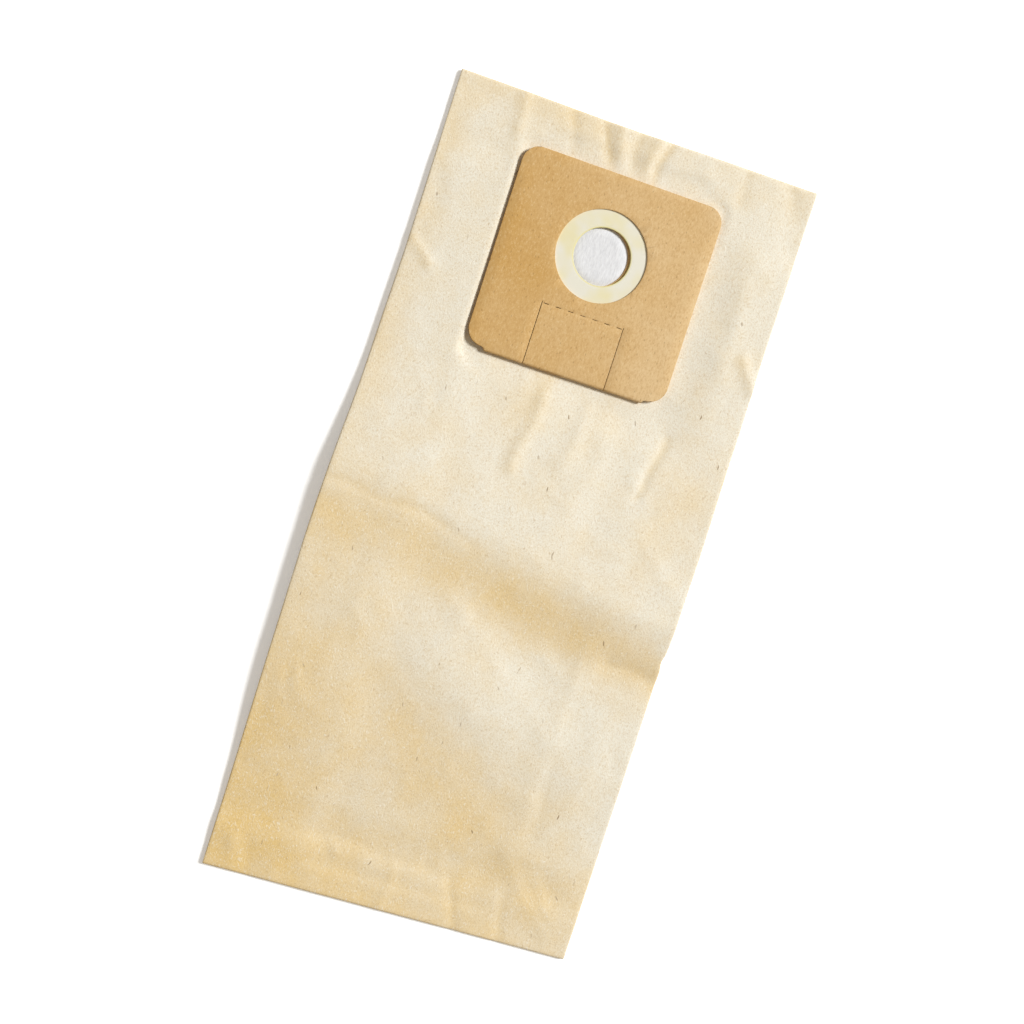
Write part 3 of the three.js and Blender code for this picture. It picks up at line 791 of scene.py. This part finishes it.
def filter_paper():
    """Unbleached filter paper, laid wet from pulp, softly creped and left uncoated.

    That makes it matt and warm, with its fibres showing. It is browner in broad patches, which are partly
    painted shade, and on each fold's side away from the light, which is painted shade.
    """
    material, tree, at = new_material("creped filter paper")

    # fibres lie both ways and bend over about 11 mm; pulp fibres are 0.03 mm wide, too fine to show, so
    # they are drawn 0.6 to 0.7 mm wide and 2 mm long, and the mottle between them 1.1 mm across
    bent = add(tree, "TexNoise", {"Vector": at, "Scale": 0.09, "Detail": 1}, take="Color")
    bent = add(tree, "VectorMath", {0: bent, "Scale": 9}, operation="SCALE")
    bent = add(tree, "VectorMath", {0: at, 1: bent}, operation="ADD")
    rising = add(tree, "Mapping", {"Vector": bent, "Rotation": (0, 0, 0.35), "Scale": (1, 0.3, 1)})
    falling = add(tree, "Mapping", {"Vector": bent, "Rotation": (0, 0, -0.5), "Scale": (1, 0.3, 1)})
    cloud = add(tree, "TexNoise", {"Vector": at, "Scale": 0.04, "Detail": 4, "Roughness": 0.6})
    mottle = add(tree, "TexNoise", {"Vector": at, "Scale": 0.9, "Detail": 3, "Roughness": 0.7})
    hairs = add(tree, "TexNoise", {"Vector": rising, "Scale": 1.6, "Detail": 2, "Roughness": 0.6})
    other_hairs = add(tree, "TexNoise", {"Vector": falling, "Scale": 1.4, "Detail": 2, "Roughness": 0.6})

    # browner, partly as painted shade, where the mesh's attribute says so, and in clouds 25 mm across
    shade_and_brown_attribute = add(tree, "Attribute", attribute_name="brown_and_painted_shade", take="Fac")
    ends = {"From Min": 0.3, "From Max": 0.7, "To Min": -0.14, "To Max": 0.18}
    uneven = add(tree, "MapRange", {"Value": cloud, **ends})
    brown = add(tree, "Math", {0: shade_and_brown_attribute, 1: uneven}, operation="ADD", use_clamp=True)
    hues = {FIRST: linear("efe8d7"), SECOND: linear("ecca84")}
    colour = add(tree, "Mix", {FACTOR: brown, **hues}, data_type="RGBA")

    # fine mottle, and pale and dark hairs that lie both ways
    specked = add(tree, "MapRange", {"Value": mottle, "From Min": 0.46, "From Max": 0.75, "To Max": 0.5})
    hues = {FIRST: colour, SECOND: linear("ceae76")}
    colour = add(tree, "Mix", {FACTOR: specked, **hues}, data_type="RGBA")
    dark = add(tree, "MapRange", {"Value": other_hairs, "From Min": 0.58, "From Max": 0.72, "To Max": 0.4})
    hues = {FIRST: colour, SECOND: linear("b8976a")}
    colour = add(tree, "Mix", {FACTOR: dark, **hues}, data_type="RGBA")
    pale = add(tree, "MapRange", {"Value": hairs, "From Min": 0.55, "From Max": 0.7, "To Max": 0.6})
    hues = {FIRST: colour, SECOND: linear("fbf5e6")}
    colour = add(tree, "Mix", {FACTOR: pale, **hues}, data_type="RGBA")

    # a few dark splinters of wood 3 mm long, in some of the cells 12 mm apart; real ones are 0.2 mm wide,
    # too fine to show, so they are drawn 0.7 mm wide
    cells = add(tree, "Mapping", {"Vector": falling, "Scale": (1, 0.75, 1)})
    cells = {"Vector": cells, "Scale": 0.08}
    near = add(tree, "TexVoronoi", cells, take="Distance", voronoi_dimensions="2D")
    chosen = add(tree, "TexVoronoi", cells, take="Color", voronoi_dimensions="2D")
    bold = add(tree, "MapRange", {"Value": chosen, "From Min": 0.55, "From Max": 0.85, "To Max": 0.8})
    dash = add(tree, "MapRange", {"Value": near, "From Min": 0.036, "From Max": 0.02})
    splinter = add(tree, "Math", {0: bold, 1: dash}, operation="MULTIPLY")
    hues = {FIRST: colour, SECOND: linear("8a6a42")}
    colour = add(tree, "Mix", {FACTOR: splinter, **hues}, data_type="RGBA")

    # creases about 30 mm apart, under the grain of the crepe
    creases = add(
        tree, "TexNoise", {"Vector": at, "Scale": 0.034, "Detail": 2, "Roughness": 0.5, "Distortion": 0.6},
        noise_type="RIDGED_MULTIFRACTAL"
    )
    grain = add(tree, "Math", {0: mottle, 1: hairs}, operation="ADD")
    height = add(tree, "Math", {0: grain, 1: 0.15, 2: creases}, operation="MULTIPLY_ADD")
    finish_surface(tree, colour, height, 0.8, 0.93, 0.05)
    return material


def kraft_card():
    """Plain kraft card, pressed from layers of unbleached pulp: matt and brown, a little speckled."""
    material, tree, at = new_material("kraft card")

    # its fibres, 0.03 mm wide, are too fine to show, so they are drawn 0.9 mm wide and 2 mm long, and the
    # grain of the pressed face 0.4 mm across
    along = add(tree, "Mapping", {"Vector": at, "Scale": (1, 0.45, 1)})
    cloud = add(tree, "TexNoise", {"Vector": at, "Scale": 0.03, "Detail": 3, "Roughness": 0.5})
    mottle = add(tree, "TexNoise", {"Vector": along, "Scale": 1.1, "Detail": 3, "Roughness": 0.8})
    fine = add(tree, "TexNoise", {"Vector": at, "Scale": 2.6, "Detail": 3, "Roughness": 0.6})

    # paler towards the right, a painted fall-off of the key light, which stands to the right; and in clouds
    # 30 mm across
    x = add(tree, "SeparateXYZ", {"Vector": at}, take="X")
    half = CARD_WIDTH / 2
    ends = {"From Min": -half, "From Max": half, "To Min": -0.35, "To Max": 0.35}
    side = add(tree, "MapRange", {"Value": x, **ends})
    pale = add(tree, "Math", {0: cloud, 1: side}, operation="ADD", use_clamp=True)
    hues = {FIRST: linear("cda058"), SECOND: linear("e0c08f")}
    colour = add(tree, "Mix", {FACTOR: pale, **hues}, data_type="RGBA")

    # dark and light fibres, and dark specks about 6 mm apart, drawn 0.6 mm wide so that they show
    dark = add(tree, "MapRange", {"Value": mottle, "From Min": 0.5, "From Max": 0.72, "To Max": 0.6})
    hues = {FIRST: colour, SECOND: linear("b5874a")}
    colour = add(tree, "Mix", {FACTOR: dark, **hues}, data_type="RGBA")
    light_fibre = add(tree, "MapRange", {"Value": mottle, "From Min": 0.46, "From Max": 0.28, "To Max": 0.6})
    hues = {FIRST: colour, SECOND: linear("ecd2a4")}
    colour = add(tree, "Mix", {FACTOR: light_fibre, **hues}, data_type="RGBA")
    cells = {"Vector": along, "Scale": 0.16}
    near = add(tree, "TexVoronoi", cells, take="Distance", voronoi_dimensions="2D")
    speck = add(tree, "MapRange", {"Value": near, "From Min": 0.06, "From Max": 0.035, "To Max": 0.4})
    hues = {FIRST: colour, SECOND: linear("8d683a")}
    colour = add(tree, "Mix", {FACTOR: speck, **hues}, data_type="RGBA")
    height = add(tree, "Math", {0: mottle, 1: fine}, operation="ADD")
    finish_surface(tree, colour, height, 0.05, 0.84)
    return material


def fleece():
    """Polyester fleece, spun hot onto a belt and pressed: white, dull and soft, its strands mostly one way.

    The strands are 0.02 mm thick, too fine to show, so they are drawn 0.7 to 0.9 mm wide and 3 to 4 mm long.
    """
    material, tree, at = new_material("white non-woven fleece")
    turned = add(tree, "Mapping", {"Vector": at, "Rotation": (0, 0, -0.3), "Scale": (1.5, 0.35, 1)})
    crossed = add(tree, "Mapping", {"Vector": at, "Rotation": (0, 0, 0.8), "Scale": (1.3, 0.3, 1)})
    strands = add(tree, "TexNoise", {"Vector": turned, "Scale": 0.75, "Detail": 4, "Roughness": 0.6})
    stray_strands = add(tree, "TexNoise", {"Vector": crossed, "Scale": 1.1, "Detail": 3, "Roughness": 0.6})
    both = add(tree, "Math", {0: stray_strands, 1: 0.5, 2: strands}, operation="MULTIPLY_ADD")
    share = add(tree, "MapRange", {"Value": both, "From Min": 0.5, "From Max": 1.0})
    hues = {FIRST: linear("d8d8db"), SECOND: linear("f1f1f3")}
    colour = add(tree, "Mix", {FACTOR: share, **hues}, data_type="RGBA")
    finish_surface(tree, colour, both, 0.1, 0.97, 0.1)
    return material


def cream_rubber():
    """Cream rubber, moulded flat: smooth and satin, yellower in patches and along its thin lip."""
    material, tree, at = new_material("cream rubber")

    # patches 18 mm across, and a grain that is drawn 0.4 mm across, as the mould's own is too fine to show
    patch = add(tree, "TexNoise", {"Vector": at, "Scale": 0.055, "Detail": 2, "Roughness": 0.5})
    fine = add(tree, "TexNoise", {"Vector": at, "Scale": 2.5, "Detail": 2, "Roughness": 0.5})
    yellow = add(tree, "MapRange", {"Value": patch, "From Min": 0.42, "From Max": 0.66, "To Max": 0.85})
    hues = {FIRST: linear("e8e4d4"), SECOND: linear("e8deb0")}
    colour = add(tree, "Mix", {FACTOR: yellow, **hues}, data_type="RGBA")

    # the lip, by its distance from the ring's middle
    from_middle = (-SEAL_SHIFT[0], -HOLE_Y - SEAL_SHIFT[1], 0)
    centred = add(tree, "Mapping", {"Vector": at, "Location": from_middle, "Scale": (1, 1, 0)})
    radius = add(tree, "VectorMath", {0: centred}, take="Value", operation="LENGTH")
    inner = SEAL_HOLE / 2
    lip = add(tree, "MapRange", {"Value": radius, "From Min": inner + 1.1, "From Max": inner + 0.3})
    hues = {FIRST: colour, SECOND: linear("e6dc9c")}
    colour = add(tree, "Mix", {FACTOR: lip, **hues}, data_type="RGBA")
    finish_surface(tree, colour, fine, 0.01, 0.55)
    return material


def dress(piece, node):
    """A piece rides on the one body and stands for its node, whose imported part is hidden."""
    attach(piece, "root")
    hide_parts(node)


def light(name, place, aim, width, watts, colour="ffffff"):
    """A square soft lamp; places in millimetres."""
    data = bpy.data.lights.new(name, "AREA")
    data.shape = "SQUARE"
    data.size = width * MM
    data.energy = watts
    data.color = linear(colour)[:3]
    lamp = bpy.data.objects.new(name, data)
    bpy.context.scene.collection.objects.link(lamp)
    lamp.location = Vector(place) * MM
    lamp.rotation_euler = (Vector(aim) - Vector(place)).to_track_quat("-Z", "Y").to_euler()


def studio():
    """A pale floor and background, and soft light from the right."""
    world = bpy.data.worlds.new("studio")
    bpy.context.scene.world = world
    world.use_nodes = True
    tree = world.node_tree
    tree.nodes.clear()
    seen = add(tree, "Background", {"Color": linear("ffffff"), "Strength": 1.0})
    fill = add(tree, "Background", {"Color": linear("fff2df"), "Strength": FILL_STRENGTH})
    direct = add(tree, "LightPath", take="Is Camera Ray")
    add(tree, "OutputWorld", {"Surface": add(tree, "MixShader", {0: direct, 1: fill, 2: seen})})

    bm = bmesh.new()
    bmesh.ops.create_grid(bm, x_segments=1, y_segments=1, size=FLOOR_REACH)
    bmesh.ops.translate(bm, verts=bm.verts, vec=(0, 0, -FLOOR_DROP))
    material, tree, _ = new_material("matt white floor")
    matt = add(tree, "BsdfPrincipled", {"Base Color": linear("fafafa"), "Roughness": 0.9})
    direct = add(tree, "LightPath", take="Is Camera Ray")
    strength = add(tree, "Math", {0: direct, 1: FLOOR_GLOW}, operation="MULTIPLY")
    glow = add(tree, "Emission", {"Color": linear("ffffff"), "Strength": strength})
    add(tree, "OutputMaterial", {"Surface": add(tree, "AddShader", {0: matt, 1: glow})})
    finish_mesh("floor", bm, material)

    light("key", KEY_PLACE, (0, 0, 0), KEY_WIDTH, KEY_WATTS, "fafdff")


def camera():
    """Stands above the bag, a little to its left, and turned so that the bag leans to the right."""
    eye = Vector(EYE) * MM
    roll = math.radians(ROLL)
    back = (eye - Vector(AIM) * MM).normalized()
    side = Vector((-math.sin(roll), math.cos(roll), 0)).cross(back).normalized()
    turn = Matrix((side, back.cross(side), back)).transposed()
    data = bpy.data.cameras.new("camera")
    data.lens = LENS
    data.sensor_width = SENSOR
    data.clip_start = 0.01
    seer = bpy.data.objects.new("camera", data)
    bpy.context.scene.collection.objects.link(seer)
    seer.matrix_world = Matrix.Translation(eye) @ turn.to_4x4()
    bpy.context.scene.camera = seer


bpy.context.scene.view_settings.view_transform = "Standard"
camera()
studio()

paper = tube("paper_bag_folded", stations(ROUND_Y, True), 0, PAPER_SHOWN, filter_paper())
dress(paper, "paper_bag")
lining_rows = stations(GLUE_LINE - PLY_GAP, False)
lining = tube("fleece_lining_tube", lining_rows, PAPER + PLY_GAP, FLEECE_SHOWN, fleece())
dress(lining, "fleece_lining")
dress(collar(kraft_card()), "collar_card")
dress(seal(cream_rubber()), "sealing_ring")
